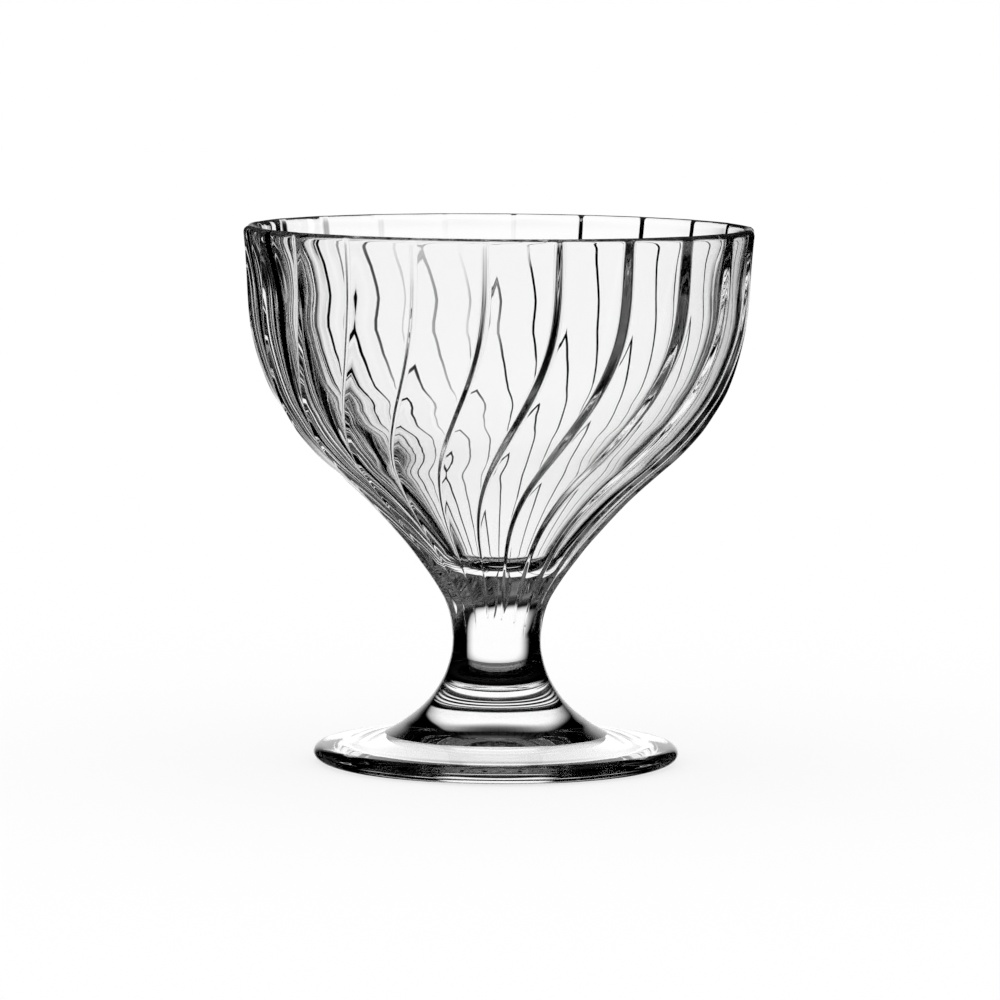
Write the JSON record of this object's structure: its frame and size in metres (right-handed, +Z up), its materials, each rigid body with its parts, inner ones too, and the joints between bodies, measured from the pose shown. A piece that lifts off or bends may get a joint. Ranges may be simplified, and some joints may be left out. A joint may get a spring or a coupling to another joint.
{
  "type": "footed dessert cup",
  "caption": "Clear pressed-glass dessert cup with a bell-shaped bowl of swirled panels, a short solid stem and a round foot, for ice cream and cold desserts.",
  "frame": {"origin": "centre of the resting ring under the foot, on the table", "axes": "+Z up through the middle of the stem and bowl; -Y faces the camera of the picture"},
  "size_m": [0.101, 0.101, 0.1058],
  "materials": {
    "bowl_glass": "fire-polished, clear",
    "stem_glass": "fire-polished, clear",
    "foot_glass": "fire-polished, clear"
  },
  "bodies": {
    "root": {"bowl": "bowl_glass", "stem": "stem_glass", "foot": "foot_glass"}
  },
  "joints": []
}
